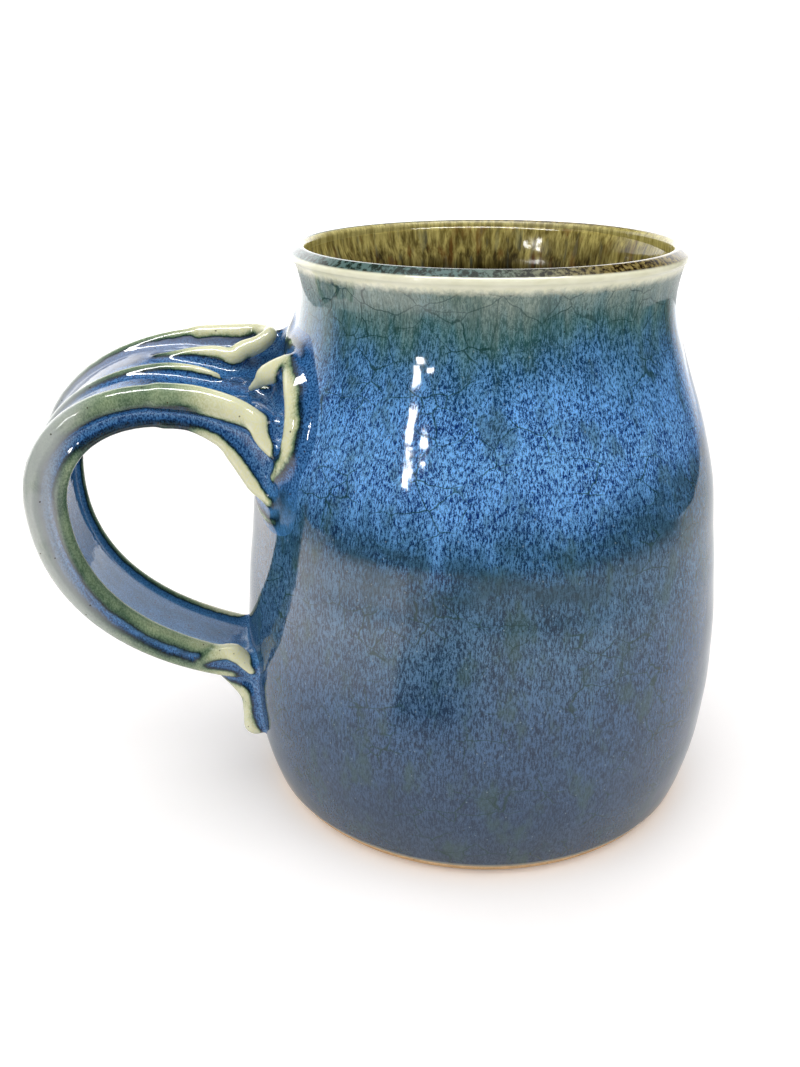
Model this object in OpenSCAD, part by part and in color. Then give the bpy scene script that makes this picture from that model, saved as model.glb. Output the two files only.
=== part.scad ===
// Hand-thrown stoneware shaving mug with a pulled strap handle.
// Millimetres, +Z up. The origin is the centre of the foot, on the table.
// The handle lies along -X, and its plane holds the mug's axis.
// Diameters are the finished ones, measured over the glaze.

/* [Body] */
// Height from the table to the top of the lip
mug_h = 114; // [104:0.5:124]
// Diameter over the lip's outer bead
lip_d = 76.2; // [72:0.2:80]
// Diameter at the narrowest part of the neck
neck_d = 73.2; // [70:0.2:76]
// Diameter where the shoulder turns in
shoulder_d = 92.6; // [88:0.2:96]
// Largest diameter, at the belly
belly_d = 100; // [96:0.5:106]
// Diameter just above the foot
foot_d = 91; // [86:0.5:94]

/* [Wall] */
// Wall thickness at the floor, glaze included
wall_low = 5; // [4:0.1:6.5]
// Wall thickness at the lip, glaze included
wall_high = 3.1; // [2.8:0.1:3.4]
// Height of the inside floor above the table
floor_z = 7.4; // [6.5:0.1:10]
// Radius of the hollow between the wall and the floor
floor_round = 12; // [8:0.5:16]
// Width of the ring the mug stands on
foot_ring_w = 6; // [4:0.5:9]
// Depth of the trimmed hollow inside that ring
foot_hollow = 2.5; // [1:0.1:3]

/* [Glaze] */
// Thickness of each fired glaze coat
glaze_t = 0.4; // [0.3:0.05:0.6]
// Height of the bare clay strip at the foot
bare_h = 2.6; // [1.5:0.1:5]

/* [Handle] */
// Furthest reach of the strap's centreline from the mug's axis
handle_reach = 85.4; // [80:0.2:90]
// Height of that furthest point
handle_mid_z = 69; // [62:0.5:74]
// Height of the upper join's centre
upper_z = 85; // [82:0.5:87]
// Height of the lower join's centre
lower_z = 30; // [26:0.5:34]
// Width of the strap as it leaves the upper join
strap_w_top = 31; // [24:0.5:32]
// Width of the strap at the lower join
strap_w_end = 17.5; // [14:0.5:19]
// Thickness of the strap as it leaves the upper join
strap_t_top = 8.5; // [7:0.1:10]
// Thickness of the strap at the lower join
strap_t_end = 5.8; // [5:0.1:8]
// Height of the three ridges along the strap's outer face
ridge_h = 0.7; // [0:0.05:1]
// Depth of the channel along the strap's inner face
channel_h = 0.9; // [0:0.05:1.4]
// Roll of the strap as it leaves the upper join, in degrees
roll_top = 18; // [0:1:22]
// Roll of the strap over its lower half, in degrees
roll_low = -4; // [-8:1:8]

/* [Joins] */
// Half the width of the thumb-pressed upper pad
upper_half_w = 17; // [14:0.5:17.5]
// How far the upper pad reaches above its centre
upper_rise = 12; // [8:0.5:13]
// How far the upper pad's point reaches below its centre
upper_drop = 18; // [12:0.5:19]
// Swing of the upper pad's point towards -Y, in degrees
upper_lean = 24; // [0:1:30]
// Half the width of the lower pad
lower_half_w = 9.5; // [8:0.5:10]
// Half the width of the tail pressed down below it
tail_half_w = 5; // [3.5:0.5:6]
// How far the lower pad reaches above its centre
lower_rise = 5; // [4:0.5:6]
// How far the pressed tail runs down the wall
tail_drop = 13; // [8:0.5:13.5]

/* [Hidden] */

round_fn = 180;        // facets shown round the mug
wall_steps = 46;       // straight stretches that make up the wall's curve
arc_steps = 10;        // stretches in each small round
ring_n = 32;           // points round the strap's section
strap_steps = 20;      // stations along each half of the strap
cap_rings = 3;         // rings between a join's edge and its centre

clay = "burlywood";
blue_glaze = "steelblue";
green_glaze = "darkolivegreen";
slip = "tan";

// ---- the wall's curve ----

lip_bead_r = 0.9;                       // outer bead of the lip, over the glaze
lip_edge_r = 1.15;                      // rounded inner edge of the lip
bead_drop = 1.9;                        // the bead's centre, below the top of the lip
lip_slope_w = 0.95;                     // from the bead's centre in to the edge's centre
bead_c = [lip_d / 2 - lip_bead_r, mug_h - bead_drop];
edge_c = [bead_c.x - lip_slope_w, mug_h - lip_edge_r];
lip_z = mug_h - bead_drop - 0.5;        // where the neck's flare meets the bead

// Heights, finished radii and slopes that the wall's curve runs through
wall_knots = [
    [0,               foot_d / 2 - 0.6,       0.50],
    [0.10 * mug_h,    belly_d / 2 - 1.6,      0.20],
    [0.27 * mug_h,    belly_d / 2,            0],
    [0.50 * mug_h,    belly_d / 2 - 2,       -0.12],
    [0.62 * mug_h,    shoulder_d / 2,        -0.19],
    [0.74 * mug_h,    shoulder_d / 2 - 3.9,  -0.33],
    [0.91 * mug_h,    neck_d / 2,            -0.08],
    [lip_z,           lip_d / 2 - 0.4,        0.32]
];

// Cubic through two knots with their slopes
function hermite(a, b, z) =
    let (span = b[0] - a[0], t = (z - a[0]) / span)
    (2 * pow(t, 3) - 3 * pow(t, 2) + 1) * a[1]
    + (pow(t, 3) - 2 * pow(t, 2) + t) * span * a[2]
    + (3 * pow(t, 2) - 2 * pow(t, 3)) * b[1]
    + (pow(t, 3) - pow(t, 2)) * span * b[2];

function knot_below(z, i = 0) =
    i >= len(wall_knots) - 2 || z <= wall_knots[i + 1][0] ? i : knot_below(z, i + 1);

// Finished outside radius of the wall at height z
function wall_r(z) =
    let (i = knot_below(z))
    hermite(wall_knots[i], wall_knots[i + 1], z);

// Finished wall thickness at height z
function wall_t(z) = wall_low + (wall_high - wall_low) * z / mug_h;

function inside_r(z) = wall_r(z) - wall_t(z);

function arc(c, r, from, to, steps = arc_steps) =
    [for (i = [0 : steps]) let (a = from + (to - from) * i / steps) c + r * [cos(a), sin(a)]];

// The outside of the wall from height z0 to the lip, d inside the finished surface
function outside_curve(z0, d) =
    [for (i = [0 : wall_steps]) let (z = z0 + (lip_z - z0) * i / wall_steps) [wall_r(z) - d, z]];

// The top of the lip from its outer bead to its inner edge, d inside the finished surface
function lip_curve(d) =
    concat(arc(bead_c, lip_bead_r - d, -20, 52), arc(edge_c, lip_edge_r - d, 52, 170));

inside_top_z = edge_c.y - 0.6;          // where the inside wall meets the lip's inner edge
corner_z = floor_z + floor_round;
corner_x = inside_r(corner_z) - floor_round;

// The inside from the lip down to the centre of the floor, d behind the finished surface
function inside_curve(d) =
    concat(
        [for (i = [0 : wall_steps - 1])
            let (z = inside_top_z + (corner_z - inside_top_z) * i / wall_steps)
            [inside_r(z) + d, z]],
        arc([corner_x, corner_z], floor_round + d, 0, -90),
        [[0, floor_z - d]]);

// ---- clay pot ----

toe = 0.8;                              // eased edge of the foot
stand_r = wall_r(0) - glaze_t - toe;    // outer radius of the ring the mug stands on
ring_inner_r = stand_r - foot_ring_w;

module thrown_body() {
    underside = [
        [0, foot_hollow],
        [ring_inner_r - foot_hollow, foot_hollow],
        [ring_inner_r, 0],
        [stand_r, 0]
    ];
    color(clay)
        rotate_extrude($fn = round_fn)
            polygon(concat(underside, outside_curve(toe, glaze_t), lip_curve(glaze_t),
                           inside_curve(glaze_t)));
}

// ---- glaze coats on the pot ----

// Glass skin over the outside and the lip, stopping above the bare foot
module outside_coat() {
    outer = concat(outside_curve(bare_h, 0), lip_curve(0));
    inner = concat(outside_curve(bare_h, glaze_t), lip_curve(glaze_t));
    rotate_extrude($fn = round_fn)
        polygon(concat(outer, [for (i = [len(inner) - 1 : -1 : 0]) inner[i]]));
}

module outside_glaze() {
    color(blue_glaze)
        difference() {
            outside_coat();
            bed_cutter(upper_outline);
            bed_cutter(lower_outline);
        }
}

module liner_glaze() {
    outer = inside_curve(glaze_t);
    inner = inside_curve(0);
    color(green_glaze)
        rotate_extrude($fn = round_fn)
            polygon(concat(outer, [for (i = [len(inner) - 1 : -1 : 0]) inner[i]]));
}

// ---- slip beds that bond the handle to the pot ----

// A join's outline pushed out along -X, through one side of the wall
module bed_cutter(outline) {
    translate([-belly_d / 2 - 5, 0, 0])
        rotate([90, 0, 90])
            linear_extrude(height = belly_d / 2)
                polygon([for (p = outline) [-p[2], p[1]]]);
}

module upper_slip_joint() {
    color(slip)
        intersection() {
            outside_coat();
            bed_cutter(upper_outline);
        }
}

module lower_slip_joint() {
    color(slip)
        intersection() {
            outside_coat();
            bed_cutter(lower_outline);
        }
}

// ---- handle ----
// Worked out in strap coordinates: u outwards from the mug's axis, v up, w across.

function to_row(p) = [-p[0], -p[2], p[1]];

function bezier(p, t) =
    pow(1 - t, 3) * p[0] + 3 * t * pow(1 - t, 2) * p[1]
    + 3 * t * t * (1 - t) * p[2] + pow(t, 3) * p[3];

// The strap springs from the wall, arches over and comes back in at the lower join
spring = [wall_r(upper_z) - 2, upper_z];
crown = [handle_reach, handle_mid_z];
landing = [wall_r(lower_z) - 1, lower_z];
spring_pull = [17, 9];                  // where the arch heads as it leaves the upper join
crown_pull_up = [0, 22.5];              // how squarely it comes over to its furthest point
crown_pull_down = [0, -25];             // how squarely it leaves that point again
landing_pull = [14, 3.5];               // where it comes from as it meets the lower join
upper_arch = [spring, spring + spring_pull, crown + crown_pull_up, crown];
lower_arch = [crown, crown + crown_pull_down, landing + landing_pull, landing];

// Centreline point at s, from 0 at the upper join to 1 at the lower one
function centre(s) = s < 0.5 ? bezier(upper_arch, 2 * s) : bezier(lower_arch, 2 * s - 1);

function unit(v) = v / norm(v);

// Direction of the outer face, square to the centreline
function outward(s) =
    let (e = 0.002, d = unit(centre(min(1, s + e)) - centre(max(0, s - e))))
    [-d[1], d[0]];

function mix(a, b, t) = a + (b - a) * t;
function strap_w(s) = mix(strap_w_top, strap_w_end, pow(s, 0.65));
function strap_t(s) = mix(strap_t_top, strap_t_end, s);
function roll(s) = mix(roll_top, roll_low, min(1, 2 * s));

function keep_sign(x, e) = sign(x) * pow(abs(x), e);

// Strap section: [out, across] at angle a, grown by g all round.
// The outer face carries three ridges, and the inner face one wide channel.
function section(a, s, g) =
    let (
        x = keep_sign(cos(a), 0.75),
        y = keep_sign(sin(a), 0.6),
        ridges = ridge_h * cos(450 * x) * max(0, y),
        channel = channel_h * (1 - x * x) * max(0, -y)
    )
    [(strap_t(s) / 2 + g) * y + ridges + channel, (strap_w(s) / 2 + g) * x];

// Point of the strap's skin at station s and angle a, as [u, v, w]
function skin(a, s, g) =
    let (
        q = section(a, s, g),
        n = outward(s),
        r = roll(s),
        out = q[0] * cos(r) - q[1] * sin(r),
        across = q[0] * sin(r) + q[1] * cos(r),
        c = centre(s)
    )
    [c[0] + n[0] * out, c[1] + n[1] * out, across];

// Point on the glazed wall at height v and distance w across
function on_wall(v, w) = [sqrt(pow(wall_r(v), 2) - w * w), v, w];

// Edge of the upper pad at angle a, shrunk by k towards its centre and grown by g.
// A leaf: rounded above and drawn to a point below.
function upper_pad(a, k, g) =
    let (
        h = sin(a) > 0 ? upper_rise : upper_drop,
        point = sin(a) > 0 ? 1 : 1 - 0.3 * pow(sin(a), 2),
        w = k * (upper_half_w + g) * cos(a) * point,
        v = k * (h + g) * sin(a)
    )
    on_wall(upper_z + v * cos(upper_lean) + w * sin(-upper_lean),
            w * cos(upper_lean) - v * sin(upper_lean));

// Edge of the lower pad at angle a, shrunk and grown the same way.
// Rounded above, and narrowing to a tail below.
function lower_pad(a, k, g) =
    let (
        h = sin(a) > 0 ? tail_drop : lower_rise,
        half_w = mix(lower_half_w, tail_half_w, pow(max(0, sin(a)), 0.7))
    )
    on_wall(lower_z - k * (h + g) * sin(a), k * (half_w + g) * cos(a));

flare_s = 0.22;                         // share of the strap over which a join flares

// The strap's skin, drawn out to the pads' edges at both ends
function flared(a, s, g) =
    let (
        head = pow(max(0, 1 - s / flare_s), 3),
        foot = pow(max(0, 1 - (1 - s) / flare_s), 6)
    )
    skin(a, s, g)
    + head * (upper_pad(a, 1, g) - skin(a, 0, g))
    + foot * (lower_pad(a, 1, g) - skin(a, 1, g));

angles = [for (i = [0 : ring_n - 1]) 360 * i / ring_n];
upper_outline = [for (a = angles) upper_pad(a, 1, 0)];
lower_outline = [for (a = angles) lower_pad(a, 1, 0)];

function strap_rings(g) =
    [for (i = [0 : 2 * strap_steps]) [for (a = angles) to_row(flared(a, i / 2 / strap_steps, g))]];

upper_cap = [for (i = [1 : cap_rings - 1])
    [for (a = angles) to_row(upper_pad(a, i / cap_rings, 0))]];
lower_cap = [for (i = [cap_rings - 1 : -1 : 1])
    [for (a = angles) to_row(lower_pad(a, i / cap_rings, 0))]];

// Two triangles for each cell between ring i and ring j
function band(i, j) =
    [for (k = [0 : ring_n - 1])
        let (m = (k + 1) % ring_n, a = i * ring_n, b = j * ring_n)
        each [[a + k, a + m, b + m], [a + k, b + m, b + k]]];

module pulled_handle() {
    rings = concat(upper_cap, strap_rings(0), lower_cap);
    last = len(rings) - 1;
    tips = [to_row(on_wall(upper_z, 0)), to_row(on_wall(lower_z, 0))];
    first_tip = len(rings) * ring_n;
    fans = [for (k = [0 : ring_n - 1])
        let (m = (k + 1) % ring_n)
        each [[first_tip, m, k], [first_tip + 1, last * ring_n + k, last * ring_n + m]]];
    color(clay)
        polyhedron(
            points = concat([for (ring = rings) each ring], tips),
            faces = concat([for (i = [0 : last - 1]) each band(i, i + 1)], fans));
}

// Glass sleeve round the strap: out along its outer skin and back along its inner skin
module handle_glaze() {
    outer = strap_rings(glaze_t);
    inner = strap_rings(0);
    rings = concat(outer, [for (i = [len(inner) - 1 : -1 : 0]) inner[i]]);
    color(blue_glaze)
        polyhedron(
            points = [for (ring = rings) each ring],
            faces = [for (i = [0 : len(rings) - 1]) each band(i, (i + 1) % len(rings))]);
}

thrown_body();
pulled_handle();
upper_slip_joint();
lower_slip_joint();
outside_glaze();
handle_glaze();
liner_glaze();
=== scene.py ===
"""Glazed stoneware shaving mug: the looks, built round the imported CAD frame.

Lengths are worked out in millimetres in the frame's own axes (+Z up, handle along -X)
and written to the meshes in metres. The pot is lathed from the CAD wall's own rings,
and the handle is one smooth field of ridges, channels and pressed clay, skinned by a
surface net.
"""

import math

import bpy
import numpy as np
from mathutils import Matrix, Vector


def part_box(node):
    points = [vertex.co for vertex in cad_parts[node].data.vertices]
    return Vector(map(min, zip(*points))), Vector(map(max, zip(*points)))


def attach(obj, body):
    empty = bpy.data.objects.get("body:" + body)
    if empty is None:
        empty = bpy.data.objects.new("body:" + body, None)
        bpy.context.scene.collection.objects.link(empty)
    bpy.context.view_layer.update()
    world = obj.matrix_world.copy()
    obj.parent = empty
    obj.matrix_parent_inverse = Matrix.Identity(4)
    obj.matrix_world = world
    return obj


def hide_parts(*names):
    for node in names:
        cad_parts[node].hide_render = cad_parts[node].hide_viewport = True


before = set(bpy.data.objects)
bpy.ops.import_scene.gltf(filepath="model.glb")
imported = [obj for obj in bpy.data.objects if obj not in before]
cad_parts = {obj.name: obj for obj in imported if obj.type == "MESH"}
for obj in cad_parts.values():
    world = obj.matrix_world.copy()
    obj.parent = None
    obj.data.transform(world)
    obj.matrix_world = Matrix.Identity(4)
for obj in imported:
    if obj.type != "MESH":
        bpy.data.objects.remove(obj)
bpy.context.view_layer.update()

METRES = 0.001
TURN = 2 * math.pi


# ---------------------------------------------------------------- sizes from the frame


def box_mm(node):
    """Lowest and highest corners of a CAD node, in millimetres."""
    low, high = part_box(node)
    return np.array(low) / METRES, np.array(high) / METRES


def read(items, name, width=3, kind=float):
    """One property of a mesh's vertices or edges, a row for each."""
    flat = np.empty(len(items) * width, kind)
    items.foreach_get(name, flat)
    return flat.reshape(-1, width)


def wall_rings(node):
    """(height, widest radius) of each ring of a lathed node, on the side away from the handle."""
    co = read(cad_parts[node].data.vertices, "co") / METRES
    co = co[co[:, 0] > 0]
    height = np.round(co[:, 2], 2)
    radius = np.hypot(co[:, 0], co[:, 1])
    return np.array([(z, radius[height == z].max()) for z in np.unique(height)])


GLAZE_T = 0.4
MUG_H = box_mm("outside_glaze")[1][2]
LIP_BASE = MUG_H - 2.4          # where the neck's flare meets the lip
GLAZE_RINGS = wall_rings("outside_glaze")
LIP_R = GLAZE_RINGS[GLAZE_RINGS[:, 0] > LIP_BASE, 1].max()
BARE_H = box_mm("outside_glaze")[0][2]
FLOOR_Z = box_mm("liner_glaze")[0][2] + GLAZE_T
FLOOR_ROUND = 12.0
REACH = -box_mm("handle_glaze")[0][0]
UPPER_TOP = box_mm("upper_slip_joint")[1][2]
LOWER_TOP = box_mm("lower_slip_joint")[1][2]


def smooth_curve(points, x):
    """Cubic through points given as (x, y) rows, read at x."""
    px, py = points[:, 0], points[:, 1]
    slope = np.gradient(py, px)
    i = np.clip(np.searchsorted(px, x) - 1, 0, len(px) - 2)
    span = px[i + 1] - px[i]
    t = np.clip((x - px[i]) / span, -1, 2)
    a, b, m, n = py[i], py[i + 1], slope[i] * span, slope[i + 1] * span
    return (
        (2 * t**3 - 3 * t**2 + 1) * a
        + (t**3 - 2 * t**2 + t) * m
        + (3 * t**2 - 2 * t**3) * b
        + (t**3 - t**2) * n
    )


rings = GLAZE_RINGS[GLAZE_RINGS[:, 0] <= LIP_BASE + 0.01]
toe = wall_rings("thrown_body")
toe = toe[(toe[:, 0] > 0.2) & (toe[:, 0] < BARE_H - 0.3)][:1] + [0, GLAZE_T]
outer_points = np.vstack([toe, rings])
HEIGHTS = np.linspace(0, LIP_BASE, 600)
OUTER = smooth_curve(outer_points, HEIGHTS)


def smoothstep(x, low, high):
    """Eases from 0 to 1 as x goes from low to high."""
    t = np.clip((x - low) / (high - low), 0, 1)
    return t * t * (3 - 2 * t)


def throwing(z, turn):
    """How far the potter's finger rings push the wall out, at height z and angle turn."""
    fade = smoothstep(z, 2, 12) * (1 - smoothstep(z, 98, 109))
    wide = 0.04 * np.sin(TURN * z / 13.5 - turn + 0.8)
    fine = 0.004 * np.sin(TURN * z / 5.3 + turn + 1.9)
    slow = 0.12 * np.sin(2 * turn + z * 0.05) + 0.06 * np.sin(3 * turn - 1.0)
    return fade * (wide + fine) + slow * smoothstep(z, 0, 30)


def wall_r(z, turn=0.0):
    """Finished outside radius of the wall."""
    return np.interp(z, HEIGHTS, OUTER) + throwing(z, turn)


# ---------------------------------------------------------------- mesh helpers


def mesh_object(name, co_mm, faces, smooth=True):
    """A mesh object from millimetre points and a list of face arrays, each n by 3 or n by 4."""
    mesh = bpy.data.meshes.new(name)
    co = np.asarray(co_mm, np.float32) * METRES
    loops = np.concatenate([f.ravel() for f in faces]).astype(np.int32)
    sizes = np.concatenate([np.full(len(f), f.shape[1]) for f in faces]).astype(np.int32)
    mesh.vertices.add(len(co))
    mesh.vertices.foreach_set("co", co.ravel())
    mesh.loops.add(len(loops))
    mesh.loops.foreach_set("vertex_index", loops)
    mesh.polygons.add(len(sizes))
    mesh.polygons.foreach_set("loop_start", np.concatenate([[0], np.cumsum(sizes)[:-1]]).astype(np.int32))
    mesh.polygons.foreach_set("use_smooth", np.full(len(sizes), smooth))
    mesh.update(calc_edges=True)
    mesh.validate()
    piece = bpy.data.objects.new(name, mesh)
    bpy.context.scene.collection.objects.link(piece)
    return piece


def lathe(name, profile, segments, push=None):
    """Turns a closed profile, given as (r, z) rows running anticlockwise, about the Z axis.
    push(r, z, turn) may return a new radius. A profile that starts and ends on the axis
    gets a single point at each end; any other profile closes on itself."""
    profile = np.asarray(profile, float)
    poles = profile[0, 0] < 1e-6 and profile[-1, 0] < 1e-6
    body = profile[1:-1] if poles else profile
    turn = np.arange(segments) / segments * TURN
    r, z = np.meshgrid(body[:, 0], turn, indexing="ij")[0], np.repeat(body[:, 1:], segments, 1)
    t = np.repeat(turn[None], len(body), 0)
    if push is not None:
        r = push(r, z, t)
    co = np.stack([r * np.cos(t), r * np.sin(t), z], -1).reshape(-1, 3)
    rows = len(body)
    i, j = np.meshgrid(np.arange(rows if not poles else rows - 1), np.arange(segments), indexing="ij")
    k, m = (i + 1) % rows, (j + 1) % segments
    quads = np.stack([i * segments + j, i * segments + m, k * segments + m, k * segments + j], -1)
    faces = [quads.reshape(-1, 4)]
    if poles:
        j = np.arange(segments)
        m = (j + 1) % segments
        first, last = len(co), len(co) + 1
        ends = [[0, 0, profile[0, 1]], [0, 0, profile[-1, 1]]]
        co = np.vstack([co, ends])
        base = (rows - 1) * segments
        faces.append(np.stack([np.full(segments, first), m, j], -1))
        faces.append(np.stack([np.full(segments, last), base + j, base + m], -1))
    return mesh_object(name, co, faces)


def arc(centre, radius, start, end, steps):
    """Points round part of a circle, with its angles in degrees."""
    a = np.radians(np.linspace(start, end, steps))
    return np.stack([centre[0] + radius * np.cos(a), centre[1] + radius * np.sin(a)], -1)


# ---------------------------------------------------------------- the pot's profiles

BEAD_R = 0.95            # outer bead of the lip
BEAD_DROP = 1.9          # the bead's centre below the top of the lip
EDGE_R = 1.1             # rounded inner edge of the lip
LIP_SLOPE_W = 1.15       # from the bead's centre in to the edge's centre
BEAD_C = np.array([LIP_R - BEAD_R, MUG_H - BEAD_DROP])
EDGE_C = np.array([BEAD_C[0] - LIP_SLOPE_W, MUG_H - EDGE_R])
WALL_LOW = 5.0           # wall thickness at the floor
WALL_HIGH = 3.1          # wall thickness at the lip
STAND_W = 6.0            # width of the ring the mug stands on
FOOT_HOLLOW = 2.5        # depth of the hollow inside that ring


def wall_t(z):
    """Finished wall thickness at height z."""
    return WALL_LOW - (WALL_LOW - WALL_HIGH) * z / MUG_H


def inside_r(z):
    """The wall's inner radius: it eases out by a third of a millimetre to meet the lip's inner edge."""
    return np.interp(z, HEIGHTS, OUTER) - wall_t(z) + 0.34 * smoothstep(z, MUG_H - 11.0, MUG_H - 1.1)


def outside_profile(z0, depth, rows):
    """The outside from z0 up to the lip, a given depth under its finished surface."""
    z = np.linspace(z0, LIP_BASE, rows)
    return np.stack([np.interp(z, HEIGHTS, OUTER) - depth, z], -1)


TUCK = ((1.6, 0.01), (2.2, 0.05), (2.8, 0.14))    # drop below the lip, depth under the liner


def lip_profile(depth, steps):
    """The lip: its bead, its rounded inner edge and the hem tucked under the liner."""
    bead = arc(BEAD_C, BEAD_R - depth, -25, 58, steps)
    edge = arc(EDGE_C, EDGE_R - depth, 62, 176, steps)
    tuck = [[inside_r(MUG_H - drop) + depth + sink, MUG_H - drop] for drop, sink in TUCK]
    return np.vstack([bead, edge, tuck])


def inside_profile(depth, rows, floor_rows):
    """The inside from the lip down to the middle of the floor."""
    top = MUG_H - 1.3
    corner_z = FLOOR_Z + FLOOR_ROUND
    corner_x = inside_r(corner_z) - FLOOR_ROUND
    z = np.linspace(top, corner_z, rows)
    sink = 0.14 * smoothstep(z, MUG_H - 2.3, MUG_H - 1.4)
    wall = np.stack([inside_r(z) + depth + sink, z], -1)
    hollow = arc((corner_x, corner_z), FLOOR_ROUND + depth, -4, -90, max(6, rows // 6))
    x = np.linspace(corner_x, 0, floor_rows)[1:]
    floor = np.stack([x, np.full(len(x), FLOOR_Z - depth)], -1)
    return np.vstack([wall, hollow, floor])


def push_outside(r, z, t):
    """Throwing rings on the outside."""
    return r + throwing(z, t)


def push_inside(r, z, t):
    """Throwing rings on the inside, dying out towards the middle of the floor."""
    fade = smoothstep(r, 4, 12)
    return r + fade * 0.16 * np.sin(TURN * z / 7.0 - t)


# ---------------------------------------------------------------- the handle's field
# Strap coordinates in millimetres: u outwards from the mug's axis (-X), w towards -Y, v up.

UPPER_Z = UPPER_TOP - 12.7                    # height of the upper join
LOWER_Z = LOWER_TOP - 5.0                     # height of the lower join
STRAP_T = (8.5, 5.8)                          # thickness at the top and at the end
STRAP_W = (31.0, 17.5)                        # width at the top and at the end
ROLL = (math.radians(30), math.radians(-4))   # turn of its section at the top and from half way
CORD_LIFT = 0.6                               # what the raised cords add to the thickness
CROWN_U = REACH - 4.4                         # the strap's outermost point
CROWN_V = 69.0
CHUNK = 20000                                 # points worked on at a time


def bezier(p, t):
    """Cubic through four control points, read at t."""
    t = t[:, None]
    p = [np.array(q, float) for q in p]
    return (1 - t) ** 3 * p[0] + 3 * t * (1 - t) ** 2 * p[1] + 3 * t * t * (1 - t) * p[2] + t**3 * p[3]


def strap_line():
    """Stations along the strap's centreline: position, outward normal and share of its length."""
    crown = np.array([CROWN_U, CROWN_V])
    spring = np.array([np.interp(UPPER_Z, HEIGHTS, OUTER) - 2, UPPER_Z])
    landing = np.array([np.interp(LOWER_Z, HEIGHTS, OUTER) - 1, LOWER_Z])
    t = np.linspace(0, 1, 161)
    upper = bezier([spring, spring + [17, 9], crown + [0, 22.5], crown], t)
    lower = bezier([crown, crown + [0, -25], landing + [14, 3.5], landing], t)
    line = np.vstack([upper, lower[1:]])
    share = np.linspace(0, 1, len(line))
    tangent = np.gradient(line, axis=0)
    tangent /= np.linalg.norm(tangent, axis=1)[:, None]
    normal = np.stack([-tangent[:, 1], tangent[:, 0]], -1)
    return line, normal, share


LINE, LINE_NORMAL, LINE_SHARE = strap_line()


def nearest_on_strap(u, v):
    """For flat arrays of points: share along the strap, signed distance outwards, distance
    past its ends, and the two parts of its outward normal."""
    a, b = LINE[:-1], LINE[1:]
    ab = b - a
    length2 = (ab**2).sum(1)
    share, out, over = np.empty(len(u)), np.empty(len(u)), np.empty(len(u))
    outward = np.empty((len(u), 2))
    for start in range(0, len(u), CHUNK):
        part = slice(start, start + CHUNK)
        q = np.stack([u[part], v[part]], -1)
        t = np.clip(((q[:, None] - a) * ab).sum(-1) / length2, 0, 1)
        foot = a + t[..., None] * ab
        gap = ((q[:, None] - foot) ** 2).sum(-1)
        i = gap.argmin(1)
        n = np.arange(len(q))
        t = t[n, i]
        s = (i + t) / len(a)
        normal = LINE_NORMAL[i] * (1 - t)[:, None] + LINE_NORMAL[i + 1] * t[:, None]
        d = q - foot[n, i]
        share[part] = s
        out[part] = (d * normal).sum(1)
        over[part] = np.abs(d[:, 0] * normal[:, 1] - d[:, 1] * normal[:, 0])
        outward[part] = normal
    return share, out, over, outward[:, 0], outward[:, 1]


def strap_size(s):
    """Thickness, half width and roll of the strap at share s of its length."""
    t = mix(STRAP_T[0], STRAP_T[1], s) + CORD_LIFT
    b = mix(STRAP_W[0], STRAP_W[1], s**0.65) / 2
    roll = ROLL[1] + (ROLL[0] - ROLL[1]) * np.maximum(0, 1 - 2 * s) ** 1.4
    return t, b, roll


def strap_cords(s):
    """Raised cords as (x outwards, y across, radius, blend) in the strap's rolled section."""
    t, b, roll = strap_size(s)
    join = 1 - smoothstep(s, 0.06, 0.2)
    arch = 1 - smoothstep(s, 0.25, 0.45)
    return (
        (t / 2 - 2.1, b - 2.1, (2.35 - 0.4 * s) * smoothstep(s, 0.02, 0.1), 1.6),
        (-t / 2 + 1.2, b - 1.7 - 0.4 * arch, 1.40 - 0.55 * arch, 1.8),
        (t / 2 - 1.7, b * 0.13 - 0.4 + 1.6 * join, 1.45 - 1.2 * join, 1.6),
        (t / 2 - 1.7, -b + 1.8, 1.6, 1.5),
        (-t / 2 + 1.2, -b + 1.3, 1.2, 1.5),
    )


def strap_point(s, x, y):
    """Point of the strap's section at share s, x outwards and y across before it is rolled."""
    roll = strap_size(s)[2]
    centre = [np.interp(s, LINE_SHARE, LINE[:, c]) for c in (0, 1)]
    normal = [np.interp(s, LINE_SHARE, LINE_NORMAL[:, c]) for c in (0, 1)]
    out = x * np.cos(roll) - y * np.sin(roll)
    w = x * np.sin(roll) + y * np.cos(roll)
    return [centre[0] + out * normal[0], w, centre[1] + out * normal[1]]


def smin(a, b, k):
    """Smooth union of two distances, with a blend about k wide."""
    h = np.clip(0.5 + 0.5 * (b - a) / k, 0, 1)
    return b + (a - b) * h - k * h * (1 - h)


def smax(a, b, k):
    """Smooth intersection of two distances."""
    return -smin(-a, -b, k)


def mix(a, b, t):
    """From a to b as t goes from 0 to 1."""
    return a + (b - a) * t


def near(field, u, w, v, low, high, margin=7.0):
    """Works a field out only inside its box, and calls everywhere else far away."""
    inside = np.ones(u.shape, bool)
    for p, a, b in zip((u, w, v), low, high):
        inside &= (p > a - margin) & (p < b + margin)
    d = np.full(u.shape, margin)
    d[inside] = np.minimum(field(u[inside], w[inside], v[inside]), margin)
    return d


def tube(u, w, v, path, radii):
    """Distance to a rounded cord through the path's points, its radius easing between radii."""
    path = np.asarray(path, float)
    return near(lambda a, b, c: cord(a, b, c, path, radii), u, w, v, path.min(0), path.max(0))


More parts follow.
